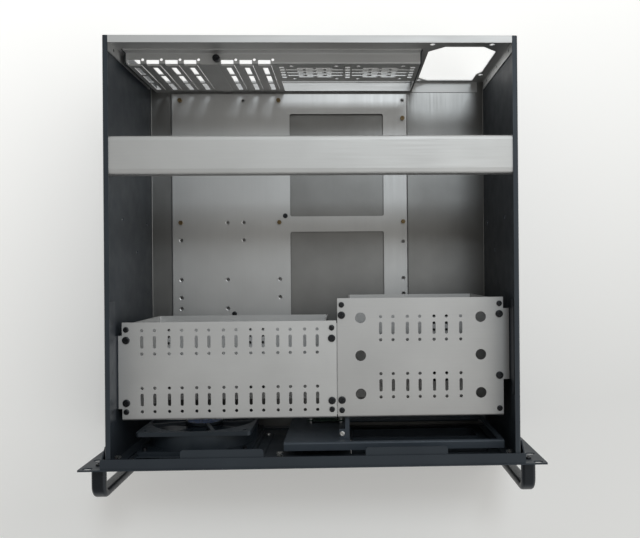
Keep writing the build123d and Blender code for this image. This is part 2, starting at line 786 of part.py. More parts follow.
def wall_rail(side, edge, tab_y, flange_y, height, rivets):
    """Angle on a side wall: a flange, and a ledge under the tab of a cage's top plate."""
    x = side * (inner - sheet / 2)
    z = cage_under - sheet / 2
    points = [(side * (edge + rail_gap), z), (x, z), (x, cage_top_z + height / 2)]
    ledge = folded_along_y(points, tab_y[0], tab_y[1])
    f0, f1 = sorted((side * inner, side * (inner - sheet)))
    flange = block(f0, f1, flange_y[0], flange_y[1], cage_top_z + rail_rise, cage_top_z + height)
    corners = flange.edges().filter_by(Axis.X).group_by(Axis.Z)[-1]
    rail = ledge + fillet(corners, rail_round)
    return rail - [rivet_hole(side * half, y, z, side, brace_rivet_grip) for y, z in rivets]


def make_left_rail():
    flange_y = (left_flange_front, left_flange_rear)
    return wall_rail(-1, -left_cage_left, left_tab, flange_y, left_flange_height, left_wall_rivets)


def make_right_rail():
    flange_y = (right_flange_front, right_flange_rear)
    return wall_rail(1, right_cage_right, right_tab, flange_y, right_flange_height, right_wall_rivets)


def make_left_cage_top():
    plate = cage_plate(left_cage_left, left_cage_right, cage_front, left_cage_rear)
    plate += wall_tab(-1, -left_cage_left - over, left_tab)
    cuts = drive_pattern(left_columns, left_column_x, left_group_y, cage_top_z)
    cuts += screw_holes(left_small + left_large, cage_top_z)
    return plate - cuts


def make_right_cage_top():
    plate = cage_plate(right_cage_left, right_cage_right, cage_front, right_cage_rear)
    plate += wall_tab(1, right_cage_right - over, right_tab)
    cuts = drive_pattern(right_columns, right_column_x, right_group_y, cage_top_z)
    for x in access_x:
        for y in access_y:
            cuts.append(rod(x, y, cage_top_z + over, access_hole, -sheet - 2 * over, "z"))
    cuts += screw_holes(right_small + right_large, cage_top_z)
    return plate - cuts


def cage_frame(x0, x1, flange0, flange1, y0, y1, screws):
    """Bottom, both sides and outward flanges of a cage, folded from one sheet; x0 and x1 are inner faces."""
    g = sheet / 2
    points = [(flange0, cage_under - g), (x0 - g, cage_under - g), (x0 - g, cage_floor - g),
              (x1 + g, cage_floor - g), (x1 + g, cage_under - g), (flange1, cage_under - g)]
    frame = folded_along_y(points, y0, y1)
    return frame - screw_holes(screws, cage_under)


def make_left_cage_frame():
    frame = cage_frame(left_frame_left, left_frame_right, left_cage_left + frame_inset,
                       left_cage_right - frame_inset, cage_front + cage_clear, left_cage_rear,
                       left_small + left_large)
    return frame - floor_holes(left_floor_x, left_floor_y)


def floor_holes(columns, rows):
    """Holes in a cage's bottom, under some of the drive columns."""
    return [rod(x, y, cage_floor + over, drive_hole, -sheet - 2 * over, "z") for x in columns for y in rows]


def make_right_cage_frame():
    frame = cage_frame(right_frame_left, right_frame_right, right_cage_left + frame_inset,
                       right_cage_right - frame_inset, cage_front + cage_clear, right_cage_rear,
                       right_small + right_large)
    return frame - floor_holes(right_floor_x, right_floor_y)


def strap_screws():
    """Screws of both cages that also pass through the strap under their joint."""
    return [p for p in left_small + left_large + right_small + right_large
            if left_frame_right < p[0] < right_frame_left and cage_front < p[1] < left_cage_rear]


def make_cage_strap():
    """Strap under the inner flanges of both cages, which ties them into one bridge."""
    z1 = cage_under - sheet
    clear = sheet + strap_gap
    strap = block(left_frame_right + clear, right_frame_left - clear, cage_front + strap_inset,
                  left_cage_rear - strap_inset, z1 - sheet, z1)
    return strap - screw_holes(strap_screws(), z1)


def make_cage_screws(places, head):
    return [top_screw(x, y, cage_top_z, head, 3 * sheet) for x, y in places]


# Front of the case

def rack_slots(y):
    """Slots of both ears, cut through the panel."""
    cuts = []
    for side in (-1, 1):
        for pitch in (outer_slot_pitch, inner_slot_pitch):
            for end in (-1, 1):
                cuts.append(slot_y(side * rack_slot_pitch / 2, y, panel_middle + end * pitch / 2,
                                   rack_slot_length, rack_slot_width, panel_gauge + 2 * over))
    return cuts


def front_holes(y, depth, room):
    """Openings that panel and frame share, each larger by room all round."""
    bays = block(bay_side - room, bay_side + bay_width + room, y, y + depth, bay_bottom - room,
                 bay_bottom + bay_window_height + room)
    cuts = [bays]
    for z, d in ((power_z, power_d), (reset_z, reset_d)):
        cuts.append(rod(button_x, y, z, d + 2 * (button_clearance + room), depth, "y"))
    for x in led_x:
        cuts.append(rod(x, y, led_z, led_d + 2 * (fit + room), depth, "y"))
    for end in (-1, 1):
        x = port_x + end * port_pitch / 2
        w, h = port_width / 2 + port_clearance + room, port_height / 2 + port_clearance + room
        cuts.append(block(x - w, x + w, y, y + depth, port_z - h, port_z + h))
    return cuts


def front_rivet_holes(y, depth):
    """Holes of the front rivets through one sheet."""
    x = inner - wall_flange / 2
    return [rod(side * x, y, z, rivet_d + 2 * fit, depth, "y") for side in (-1, 1) for z in front_rivets]


def make_front_plate():
    """Flat 19 inch panel with ears, the intake grille, bay window, buttons and ports."""
    plate = block(-panel_width / 2, panel_width / 2, front_y, panel_back, 0, panel_height)
    plate = fillet(plate.edges().filter_by(Axis.Y), panel_corner)
    cuts = rack_slots(front_y - over) + front_holes(front_y - over, panel_gauge + 2 * over, 0)
    for row in range(intake_rows):
        dz = (row - (intake_rows - 1) / 2) * intake_pitch
        span = math.sqrt((fan_bore / 2 - intake_inset) ** 2 - dz ** 2) - intake_web / 2
        for side in (-1, 1):
            x = fan_x + side * (span + intake_web) / 2
            cuts.append(slot_y(x, front_y - over, fan_z + dz, span, intake_slot, panel_gauge + 2 * over))
    for x, z in handle_ends:
        cuts.append(rod(x, front_y - over, z, handle_screw_d + 2 * fit, panel_gauge + 2 * over, "y"))
    return plate - cuts - front_rivet_holes(front_y - over, panel_gauge + 2 * over)


def make_front_frame():
    """Folded frame behind the panel, with a top flange over the rims, side flanges and lid tongues."""
    w = frame_width / 2
    top = body_height + sheet
    frame = block(-w, w, panel_back, frame_back, floor_top, top)
    frame += block(-w, w, panel_back, panel_back + frame_top_flange, body_height, top)
    for side in (-1, 1):
        x0, x1 = sorted((side * w, side * (w - sheet)))
        flange = block(x0, x1, panel_back, panel_back + frame_side_flange, frame_side_bottom, body_height)
        corner = flange.edges().filter_by(Axis.X).group_by(Axis.Y)[-1]
        frame += chamfer(corner, frame_corner)
        t0 = side * tongue_offset - tongue_length / 2
        reach = panel_back + frame_top_flange + tongue_reach
        root = panel_back + frame_top_flange - tongue_round
        tongue = block(t0, t0 + tongue_length, root, reach, rim, body_height)
        frame += fillet(tongue.edges().filter_by(Axis.Z).group_by(Axis.Y)[-1], tongue_round)
    y = panel_back - over
    depth = sheet + 2 * over
    cuts = front_holes(y, depth, frame_room) + front_rivet_holes(y, depth)
    cuts.append(rod(fan_x, y, fan_z, fan_bore, depth, "y"))
    for x, z in fan_bracket_feet():
        cuts.append(rod(x, y, z, screw_d + 2 * fit, depth, "y"))
    return frame - cuts


def make_panel_pillars():
    """Pillars on the frame's welded studs, each drawn with its stud."""
    group = []
    for x, y, length in panel_pillars:
        hexagon = RegularPolygon(pillar_hex / 2, 6, major_radius=False)
        face = Plane((x, y, pillar_z), x_dir=(1, 0, 0), z_dir=(0, 1, 0)) * hexagon
        pillar = extrude(face, length, dir=(0, 1, 0))
        pillar += rod(x, frame_back, pillar_z, screw_d, y - frame_back + over, "y")
        group.append(pillar - rod(x, y + length + over, pillar_z, screw_d, -pillar_thread, "y"))
    return group


def make_front_rivets():
    """Rivets that hold panel, frame and tub flanges together."""
    group = []
    grip = panel_gauge + 2 * sheet
    for side in (-1, 1):
        for z in front_rivets:
            x = side * (inner - wall_flange / 2)
            head = rod(x, front_y, z, rivet_head, -rivet_rise, "y")
            head = fillet(head.edges().filter_by(GeomType.CIRCLE).group_by(Axis.Y)[0], rivet_round)
            group.append(head + rod(x, front_y, z, rivet_d, grip, "y"))
    return group


def make_handle(side):
    """Bar handle on one ear, bent from one flat bar."""
    x = side * handle_x
    out = front_y - handle_reach + handle_thick / 2
    low, high = handle_z
    path = FilletPolyline((x, front_y, low), (x, out, low), (x, out, high), (x, front_y, high),
                          radius=handle_bend)
    start = Plane((x, front_y, low), x_dir=(1, 0, 0), z_dir=(0, -1, 0))
    bar = sweep(start * RectangleRounded(handle_width, handle_thick, handle_round), path=path)
    return bar - [rod(x, front_y + over, z, handle_screw_d, -handle_thread - over, "y") for z in (low, high)]


def make_handle_screws():
    group = []
    for x, z in handle_ends:
        head = rod(x, panel_back, z, handle_screw_head, handle_screw_rise, "y")
        head = fillet(head.edges().filter_by(GeomType.CIRCLE).group_by(Axis.Y)[-1], handle_screw_rise / 2)
        socket = rod(x, panel_back + handle_screw_rise / 2, z, handle_screw_socket, handle_screw_rise, "y")
        reach = panel_gauge + handle_thread - handle_thread_gap
        group.append(head + rod(x, panel_back, z, handle_screw_d - 2 * fit, -reach, "y") - socket)
    return group


def fan_bracket_feet():
    reach = fan_size / 2 + fan_foot_screw
    return [(fan_x + i * reach, fan_z + j * fan_pitch / 2) for i in (-1, 1) for j in (-1, 1)]


def make_fan_bracket():
    """Folded holder that stands the fan off the frame."""
    g = sheet / 2
    side = fan_size / 2 + fan_room
    foot = side + fan_foot
    y0, y1 = frame_back + g, fan_front - g
    points = [(fan_x - foot, y0), (fan_x - side, y0), (fan_x - side, y1),
              (fan_x + side, y1), (fan_x + side, y0), (fan_x + foot, y0)]
    line = FilletPolyline(*points, radius=bend + g)
    plan = extrude(trace(line, line_width=sheet), fan_bracket_height)
    bracket = Pos(0, 0, fan_z - fan_bracket_height / 2) * plan
    y = frame_back - over
    depth = fan_front - y + over
    cuts = [rod(fan_x, y, fan_z, fan_bore, depth, "y")]
    for x, z in fan_corners:
        cuts.append(rod(x, y, z, fan_hole, depth, "y"))
    for x, z in fan_bracket_feet():
        cuts.append(rod(x, y, z, screw_d + 2 * fit, sheet + 2 * over, "y"))
    return bracket - cuts


def make_bracket_screws():
    """Screws of the fan holder's feet, driven from inside the case."""
    group = []
    for x, z in fan_bracket_feet():
        y = frame_back + sheet
        head = rod(x, y, z, small_head, head_height, "y")
        head = fillet(head.edges().filter_by(GeomType.CIRCLE).group_by(Axis.Y)[-1], head_round)
        group.append(head + rod(x, y, z, screw_d, -2 * sheet, "y"))
    return group


def make_fan_frame():
    """Square fan housing with a round bore and four arms that carry the motor cup on the inner side."""
    r = fan_size / 2
    body = block(fan_x - r, fan_x + r, fan_front, fan_rear, fan_z - r, fan_z + r)
    body = fillet(body.edges().filter_by(Axis.Y), fan_corner)
    waist = block(fan_x - fan_size, fan_x + fan_size, fan_front + fan_flange, fan_rear - fan_flange,
                  fan_z - fan_size, fan_z + fan_size)
    body -= waist - rod(fan_x, fan_front - over, fan_z, fan_bore + 2 * fan_wall, fan_thick + 2 * over, "y")
    body -= rod(fan_x, fan_front - over, fan_z, fan_bore, fan_thick + 2 * over, "y")
    arm_y = fan_rear - fan_arm
    ring = rod(fan_x, arm_y, fan_z, fan_bore + fan_wall, fan_arm, "y")
    reach = fan_bore + 2 * fan_wall
    cross = Box(reach, fan_arm, fan_arm_width) + Box(fan_arm_width, fan_arm, reach)
    body += Pos(fan_x, arm_y + fan_arm / 2, fan_z) * Rot(0, fan_arm_turn, 0) * cross & ring
    body += rod(fan_x, arm_y, fan_z, fan_hub, fan_arm, "y")
    bore_end = arm_y + bore_past
    body += rod(fan_x, bore_end, fan_z, fan_boss_d, fan_front + fan_boss_start - bore_end, "y")
    body -= rod(fan_x, bore_end, fan_z, shaft_d + 2 * shaft_clearance, -fan_thick, "y")
    cuts = [rod(x, fan_front - over, z, fan_hole, fan_thick + 2 * over, "y") for x, z in fan_corners]
    return body - cuts


def make_fan_rotor():
    """Hub cup with blades and its shaft, which turns in the motor cup's bore."""
    y0 = fan_front + rotor_front
    y1 = fan_rear - rotor_rear
    wall = rotor_wall
    hub = rod(fan_x, y0, fan_z, fan_hub, y1 - y0, "y")
    hub -= rod(fan_x, y0 + wall, fan_z, fan_hub - 2 * wall, y1 - y0, "y")
    hub = fillet(hub.edges().filter_by(GeomType.CIRCLE).group_by(Axis.Y)[0], rotor_round)
    tip = fan_bore / 2 - blade_gap
    root = (fan_hub - wall) / 2
    depth = y1 - y0 - wall
    shell = rod(fan_x, y0 + wall / 2, fan_z, 2 * tip, depth, "y")
    shell -= rod(fan_x, y0, fan_z, 2 * root, y1 - y0, "y")
    blades = []
    for k in range(fan_blades):
        sections = []
        for radius, (angle, chord) in ((root - wall, blade_root), (tip + wall, blade_tip)):
            turn = Rot(0, 360.0 / fan_blades * k, 0)
            place = Pos(fan_x, (y0 + y1) / 2, fan_z) * turn * Pos(0, 0, radius)
            sections.append(place * Rot(0, 0, angle) * SlotOverall(chord, blade_gauge))
        blades.append(loft(sections) & shell)
    shaft = rod(fan_x, y0, fan_z, shaft_d, fan_rear - fan_arm + shaft_past - y0, "y")
    return hub + blades + shaft


def make_fan_screws():
    """Screws that pass through the holder into the fan's corners."""
    group = []
    for x, z in fan_corners:
        head_y = fan_front - sheet
        head = rod(x, head_y, z, fan_screw_head, -fan_screw_rise, "y")
        head = fillet(head.edges().filter_by(GeomType.CIRCLE).group_by(Axis.Y)[0], fan_screw_round)
        group.append(head + rod(x, head_y, z, fan_hole - 2 * fit, sheet + fan_screw_reach, "y"))
    return group


def make_bay_bracket():
    """Inner front bracket: a plate with a window for the drive bays, a top flange and a foot."""
    g = sheet / 2
    points = [(bay_back - bay_flange, bay_top - g), (bay_back - g, bay_top - g),
              (bay_back - g, floor_top + g), (bay_front_face - bay_foot, floor_top + g)]
    bracket = folded_along_x(points, bay_left, bay_right)
    y0 = bay_back - over
    z0, z1 = arm_z, arm_z + sheet
    bracket += block(arm_side - arm_width, arm_side, y0, cage_front + cage_clear, z0, z1)
    bracket += block(arm_side - arm_root[0], arm_side, y0, bay_back + arm_root[1], z0, z1)
    y0, y1 = bay_front_face - over, bay_back + over
    w, h = port_cut_width / 2, port_cut_height / 2
    cuts = [block(bay_side - bay_room[0], bay_side + bay_width + bay_room[1], y0, y1,
                  bay_bottom - bay_room_low, bay_top - bay_room_top)]
    cuts.append(block(port_x - w, port_x + w, y0, y1, port_z - h, port_z + h))
    for z in (power_z, reset_z):
        cuts.append(rod(button_x, bay_front_face - over, z, screw_d + 2 * fit, sheet + 2 * over, "y"))
    for x, y in bay_foot_screws:
        cuts.append(rod(x, y, floor_top - over, screw_d + 2 * fit, sheet + 2 * over, "z"))
    cuts.append(rod(arm_screw[0], arm_screw[1], arm_z - over, screw_d + 2 * fit, sheet + 2 * over, "z"))
    for x, z in spacer_places():
        cuts.append(rod(x, bay_front_face - over, z, screw_d + 2 * fit, sheet + 2 * over, "y"))
    return bracket - cuts


def make_bay_screws():
    """Screws of the bracket: its foot on the bottom, and one in its arm."""
    group = [top_screw(x, y, foot_top, small_head, 2 * sheet) for x, y in bay_foot_screws]
    return group + [top_screw(arm_screw[0], arm_screw[1], arm_z + sheet, small_head, 2 * sheet)]


def make_bay_blanks():
    """Two moulded covers of the front drive bays, open at the back, with a rim that fits the window."""
    blanks = []
    c = blank_clearance
    for k in range(bay_count):
        z0 = bay_bottom + k * bay_height + c
        z1 = z0 + bay_height - 2 * c
        x0, x1 = bay_side + c, bay_side + bay_width - c
        shell = block(x0, x1, front_y - blank_face, front_y - blank_face + blank_depth, z0, z1)
        shell = fillet(shell.edges().group_by(Axis.Y)[0], blank_round)
        w = blank_wall
        shell -= block(x0 + w, x1 - w, front_y - blank_face + w, 0, z0 + w, z1 - w)
        y0 = frame_back + clip_gap
        zc = (z0 + z1) / 2
        for x in (x0 - clip_reach, x1 - clip_root):
            shell += block(x, x + clip_reach + clip_root, y0, y0 + clip_thick, zc - clip_length / 2,
                           zc + clip_length / 2)
        blanks.append(shell)
    return blanks


def spacer_places():
    """Corners of the connector board that stand on spacers."""
    dx, dz = board_width / 2 - spacer_inset, board_height / 2 - spacer_inset
    return [(port_x + i * dx, port_z + j * dz) for i in (-1, 1) for j in (-1, 1)]


def make_port_board():
    """Small circuit board of the front ports, behind the bracket, with its header block."""
    y0 = bay_back + board_gap
    x0, z0 = port_x - board_width / 2, port_z - board_height / 2
    board = block(x0, x0 + board_width, y0, y0 + board_gauge, z0, z0 + board_height)
    y1 = y0 + board_gauge
    w, h, z = header_width / 2, header_height / 2, port_z + header_rise
    header = block(port_x - w, port_x + w, y1, y1 + header_depth, z - h, z + h)
    w, h = w - header_wall, h - header_wall
    header -= block(port_x - w, port_x + w, y1 + header_floor, y1 + header_depth + over, z - h, z + h)
    holes = [rod(x, y0 - over, z, screw_d + 2 * fit, board_gauge + 2 * over, "y") for x, z in spacer_places()]
    return board + header - holes


def make_ports():
    """Two port sockets that reach from the board to the front panel."""
    group = []
    for end in (-1, 1):
        x = port_x + end * port_pitch / 2
        w, h = port_width / 2, port_height / 2
        shell = block(x - w, x + w, front_y, bay_back + board_gap, port_z - h, port_z + h)
        end_y = front_y + port_depth
        t = w - port_tongue_inset
        w, h = w - port_wall, h - port_wall
        shell -= block(x - w, x + w, front_y - over, end_y, port_z - h, port_z + h)
        tongue = block(x - t, x + t, front_y + port_tongue_start, end_y + port_wall, port_z + port_tongue[0],
                       port_z + port_tongue[1])
        group.append(shell + tongue)
    return group


def make_spacers():
    """Screws with spacers that hold the connector board on the bracket."""
    group = []
    y1 = bay_back + board_gap
    for x, z in spacer_places():
        spacer = rod(x, bay_back, z, spacer_d, board_gap, "y")
        shank = rod(x, y1 + board_gauge, z, screw_d, bay_front_face - spacer_past - y1 - board_gauge, "y")
        head = rod(x, y1 + board_gauge, z, small_head, head_height, "y")
        group.append(spacer + shank + head)
    return group


def make_switch(z):
    """Push switch on the bracket, with a blind guide for the button's stem."""
    s = switch_size / 2
    y0 = bay_front_face - switch_depth
    body = block(button_x - s, button_x + s, y0, bay_front_face, z - s, z + s)
    body = chamfer(body.edges().filter_by(Axis.Y), switch_corner)
    body -= rod(button_x, y0 + guide_depth, z, stem_d + 2 * shaft_clearance, -guide_depth - over, "y")
    return body + rod(button_x, bay_front_face, z, screw_d, sheet, "y")


def make_button(z, d):
    """Button cap with the stem that slides in its switch; at rest it stands proud of the panel."""
    y0 = front_y - button_stand
    cap = rod(button_x, y0, z, d, panel_back - y0 + button_skirt, "y")
    cap = fillet(cap.edges().filter_by(GeomType.CIRCLE).group_by(Axis.Y)[0], button_round)
    stem_end = bay_front_face - switch_depth + guide_depth - button_travel - stem_gap
    return cap + rod(button_x, stem_end, z, stem_d, front_y - stem_end, "y")


def make_leds():
    """Indicator lamps pressed into the panel."""
    group = []
    for x in led_x:
        lamp = rod(x, front_y - led_stand, led_z, led_d, led_length, "y")
        lamp = fillet(lamp.edges().filter_by(GeomType.CIRCLE).group_by(Axis.Y)[0], led_round)
        group.append(lamp + rod(x, panel_back, led_z, led_d + led_collar, led_collar, "y"))
    return group


def make_wall_rivets():
    """Rivets of the brace, the rear panel and both cages in the side walls."""
    group = []
    for side in (-1, 1):
        for y, z in brace_rivets + rear_rivets:
            group.append(rivet(side * half, y, z, side, brace_rivet_grip))
    for y, z in left_wall_rivets:
        group.append(rivet(-half, y, z, -1, brace_rivet_grip))
    for y, z in right_wall_rivets:
        group.append(rivet(half, y, z, 1, brace_rivet_grip))
    return group


def build():
    """All pieces by node name; a list is a group of like fasteners."""
    blanks = make_bay_blanks()
    return {
        "chassis_tub": make_tub(),
        "rear_panel": make_rear_panel(),
        "slot_panel": make_slot_panel(),
        "slot_cover": make_slot_cover(),
        "slot_thumbscrew": make_thumbscrew(),
        "cross_brace": make_brace(),
        "board_tray": make_tray(),
        "board_standoffs": make_standoffs(),
        "tray_screws": make_tray_screws(),
        "left_cage_rail": make_left_rail(),
        "right_cage_rail": make_right_rail(),
        "left_cage_top": make_left_cage_top(),
        "left_cage_frame": make_left_cage_frame(),
        "right_cage_top": make_right_cage_top(),
        "right_cage_frame": make_right_cage_frame(),
        "cage_strap": make_cage_strap(),
        "cage_small_screws": make_cage_screws(left_small + right_small, small_head),
        "cage_large_screws": make_cage_screws(left_large + right_large, large_head),
        "front_plate": make_front_plate(),
        "front_frame": make_front_frame(),
        "panel_pillars": make_panel_pillars(),
        "front_rivets": make_front_rivets(),
        "left_handle": make_handle(-1),
        "right_handle": make_handle(1),
        "handle_screws": make_handle_screws(),
        "fan_bracket": make_fan_bracket(),
        "fan_bracket_screws": make_bracket_screws(),
        "fan_frame": make_fan_frame(),
        "fan_rotor": make_fan_rotor(),
        "fan_screws": make_fan_screws(),
        "bay_bracket": make_bay_bracket(),
        "bay_screws": make_bay_screws(),
        "lower_bay_blank": blanks[0],
        "upper_bay_blank": blanks[1],
        "port_board": make_port_board(),
        "port_sockets": make_ports(),
        "port_board_screws": make_spacers(),
        "power_switch": make_switch(power_z),
        "reset_switch": make_switch(reset_z),
        "power_button": make_button(power_z, power_d),
        "reset_button": make_button(reset_z, reset_d),
        "indicator_lamps": make_leds(),
        "wall_rivets": make_wall_rivets(),
    }


def main():
    os.makedirs("parts", exist_ok=True)
    for name, shape in build().items():
        solid = Compound(shape) if isinstance(shape, list) else shape
        export_step(solid, f"parts/{name}.step")


if __name__ == "__main__":
    main()
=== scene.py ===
import math

import bpy
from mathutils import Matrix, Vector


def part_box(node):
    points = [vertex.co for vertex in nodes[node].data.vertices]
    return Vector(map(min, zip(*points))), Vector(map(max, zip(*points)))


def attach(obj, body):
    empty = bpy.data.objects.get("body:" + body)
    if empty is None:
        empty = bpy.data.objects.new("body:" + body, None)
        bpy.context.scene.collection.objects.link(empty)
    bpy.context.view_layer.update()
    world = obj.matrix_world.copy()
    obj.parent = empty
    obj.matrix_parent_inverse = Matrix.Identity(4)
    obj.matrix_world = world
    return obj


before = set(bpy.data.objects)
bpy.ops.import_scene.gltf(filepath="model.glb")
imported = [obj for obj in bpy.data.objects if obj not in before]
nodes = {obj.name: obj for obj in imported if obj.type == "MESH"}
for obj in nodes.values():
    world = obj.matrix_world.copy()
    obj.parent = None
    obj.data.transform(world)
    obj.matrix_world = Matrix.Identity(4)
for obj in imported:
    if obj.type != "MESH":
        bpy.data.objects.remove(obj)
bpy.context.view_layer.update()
bpy.context.scene.view_settings.view_transform = "Standard"

# Camera, fitted to the known sizes of the case: metres, degrees, and millimetres of lens and sensor
CAMERA_PLACE = (0.03276, -0.01941, 0.88281)
CAMERA_TURN = (0.0938, -1.6689, -0.4732)
CAMERA_LENS = 38.652
CAMERA_SENSOR = 36.0
CAMERA_SHIFT = (-0.0705, -0.0003)
CAMERA_NEAR = 0.01
CAMERA_FAR = 50.0

# Room: its light is stronger to the right and warmer overhead, above a pale horizon
ROOM_MEAN = 0.36
ROOM_LEAN = (0.98, 0.12, 0.0)
ROOM_LEAST = 0.28
ROOM_MOST = 1.00
ROOM_TINT_LOW = (0.96, 0.98, 1.0, 1.0)
ROOM_TINT_HIGH = (1.0, 0.985, 0.94, 1.0)
HORIZON = 0.88
HORIZON_TOP = 0.10
HORIZON_END = 0.28

# Lamp: a cool soft box behind the case and to its right
LAMP_PLACE = (0.36, 1.06, 2.3)
LAMP_AIM = (0.0, 0.0, 0.0)
LAMP_SIZE = 0.5
LAMP_POWER = 11.0
LAMP_COLOUR = (0.88, 0.95, 1.0)

# Floor: its glow grows towards the rear near the case, and is even far from it
FLOOR_HALF = 4.0
FLOOR_Z = -0.0002
FLOOR_COLOUR = (0.86, 0.855, 0.84, 1.0)
FLOOR_ROUGH = 0.9
FLOOR_GLOSS = 0.1
FLOOR_GLOW = 0.33
FLOOR_GLOW_LEAN = (-0.12, 0.66, 0.0)
FLOOR_GLOW_LEAST = 0.16
FLOOR_GLOW_MOST = 0.60
FLOOR_GLOW_FAR = 0.42
FLOOR_FAR_FROM = 0.45
FLOOR_FAR_TO = 1.30

# Tones of the finishes, each from its darkest to its lightest spots
CASE_TONES = ((0.0255, 0.0315, 0.0395, 1.0), (0.0315, 0.0390, 0.0475, 1.0))
# Bay bracket: the case coat made lighter, as painted fill light for the dim front of the case
BRACKET_FILL_LIGHT_TONES = ((0.042, 0.053, 0.067, 1.0), (0.051, 0.063, 0.078, 1.0))
RAIL_TONES = ((0.036, 0.041, 0.049, 1.0), (0.044, 0.050, 0.059, 1.0))
HANDLE_TONES = ((0.0075, 0.0088, 0.0110, 1.0), (0.0100, 0.0115, 0.0140, 1.0))
STEEL_TONES = ((0.66, 0.66, 0.655, 1.0), (0.72, 0.72, 0.715, 1.0))
TRAY_TONES = ((0.585, 0.585, 0.58, 1.0), (0.64, 0.64, 0.635, 1.0))
BRACE_TONES = ((0.60, 0.598, 0.588, 1.0), (0.65, 0.648, 0.638, 1.0))
# Right cage: the left cage's steel made darker, as painted shade
RIGHT_CAGE_SHADED_TONES = ((0.575, 0.573, 0.568, 1.0), (0.63, 0.628, 0.622, 1.0))
BARE_TONES = ((0.258, 0.256, 0.250, 1.0), (0.302, 0.300, 0.294, 1.0))
BLACK_SCREW_TONES = ((0.035, 0.037, 0.041, 1.0), (0.06, 0.062, 0.066, 1.0))
BRIGHT_SCREW_TONES = ((0.62, 0.62, 0.61, 1.0), (0.76, 0.76, 0.75, 1.0))
BRASS_TONES = ((0.20, 0.145, 0.075, 1.0), (0.29, 0.215, 0.115, 1.0))
PLASTIC_TONES = ((0.0135, 0.0185, 0.0245, 1.0), (0.0185, 0.0245, 0.0310, 1.0))
ROTOR_TONES = ((0.0120, 0.0165, 0.0225, 1.0), (0.0165, 0.0220, 0.0285, 1.0))
BOARD_TONES = ((0.006, 0.020, 0.012, 1.0), (0.009, 0.030, 0.016, 1.0))
LAMP_TONES = ((0.55, 0.57, 0.60, 1.0), (0.65, 0.67, 0.70, 1.0))
LABEL_TONES = ((0.010, 0.045, 0.16, 1.0), (0.014, 0.060, 0.20, 1.0))

# Reflections of the dark coats and plastics, which are slightly cool
COAT_GLOSS = 0.42
GLOSS_TINT = (0.86, 0.93, 1.0, 1.0)

# Noise: the stretch of its values that spans a finish, and its octaves
NOISE_LOW = 0.3
NOISE_HIGH = 0.7
NOISE_DETAIL = 3.0
FINE_DETAIL = 2.0
EVEN = (1.0, 1.0, 1.0)

# Powder coat: noise in waves per metre, spread of roughness, and relief in metres
COAT_CLOUDS = 18.0
COAT_SHEEN = 60.0
COAT_GRAIN = 1600.0
COAT_SMOOTHER = 0.04
COAT_ROUGHER = 0.05
COAT_DEPTH = 0.0002

# Rolled sheet: the same, with streaks along the rolling direction
SHEET_CLOUDS = 14.0
BARE_CLOUDS = 20.0
SHEET_SHEEN = 500.0
SHEET_GRAIN = 700.0
SHEET_SPREAD = 0.03
SHEET_RELIEF = 0.006
SHEET_DEPTH = 0.0001
STREAKS = {"x": (0.03, 1.0, 1.0), "y": (1.0, 0.03, 1.0)}

# Moulded plastic: the same as the coat, with its own scales
MOULD_CLOUDS = 40.0
MOULD_SHEEN = 150.0
MOULD_GRAIN = 2600.0
MOULD_SPREAD = 0.06
MOULD_RELIEF = 0.12
MOULD_DEPTH = 0.0001

# Turned metal: the same, with marks drawn out along the axis of an upright fastener
TURNED_CLOUDS = 300.0
TURNED_SHEEN = 900.0
TURNED_GRAIN = 5000.0
TURNED_SMOOTHER = 0.06
TURNED_ROUGHER = 0.08
TURNED_RELIEF = 0.08
TURNED_DEPTH = 0.00005
TURNED_MARKS = (1.0, 1.0, 0.1)

# Bare inside of the tub: upward faces that are no higher than the bottom sheet
BARE_BELOW = 0.0016
FACES_UP = 0.5

# Painted end returns of the rear recess
RETURN_WIDTH = 0.0014
RETURN_ROUGH = 0.4

# Label on the fan's motor cup
LABEL_RADIUS = 0.0185
LABEL_THICK = 0.00015
LABEL_STEPS = 48
LABEL_EDGE = 0.7
LABEL_INNER = 0.5


def link(tree, source, target):
    tree.links.new(source, target)


def new_material(name):
    """A node material, its tree and its principled shader."""
    material = bpy.data.materials.new(name)
    material.use_nodes = True
    tree = material.node_tree
    return material, tree, tree.nodes["Principled BSDF"]


def math_node(tree, operation, first, second):
    """Arithmetic on two values, each a socket or a number."""
    node = tree.nodes.new("ShaderNodeMath")
    node.operation = operation
    for socket, value in zip(node.inputs, (first, second)):
        if isinstance(value, (int, float)):
            socket.default_value = value
        else:
            link(tree, value, socket)
    return node.outputs["Value"]


def lean_value(tree, vector, lean, mean):
    """Mean plus the vector's share along a lean."""
    dot = tree.nodes.new("ShaderNodeVectorMath")
    dot.operation = "DOT_PRODUCT"
    dot.inputs[1].default_value = lean
    link(tree, vector, dot.inputs[0])
    return math_node(tree, "ADD", dot.outputs["Value"], mean)


def limited(tree, value, least, most):
    """Value held between two limits."""
    node = tree.nodes.new("ShaderNodeClamp")
    node.inputs["Min"].default_value = least
    node.inputs["Max"].default_value = most
    link(tree, value, node.inputs["Value"])
    return node.outputs["Result"]


def eased(tree, value, start, end):
    """Smooth step from nought at the start to one at the end."""
    node = tree.nodes.new("ShaderNodeMapRange")
    node.interpolation_type = "SMOOTHSTEP"
    node.inputs["From Min"].default_value = start
    node.inputs["From Max"].default_value = end
    link(tree, value, node.inputs["Value"])
    return node.outputs["Result"]


def blended(tree, share, first, second):
    """Second value where the share is one, first where it is nought."""
    rest = math_node(tree, "SUBTRACT", 1.0, share)
    first_part = math_node(tree, "MULTIPLY", first, rest)
    second_part = math_node(tree, "MULTIPLY", second, share)
    return math_node(tree, "ADD", first_part, second_part)


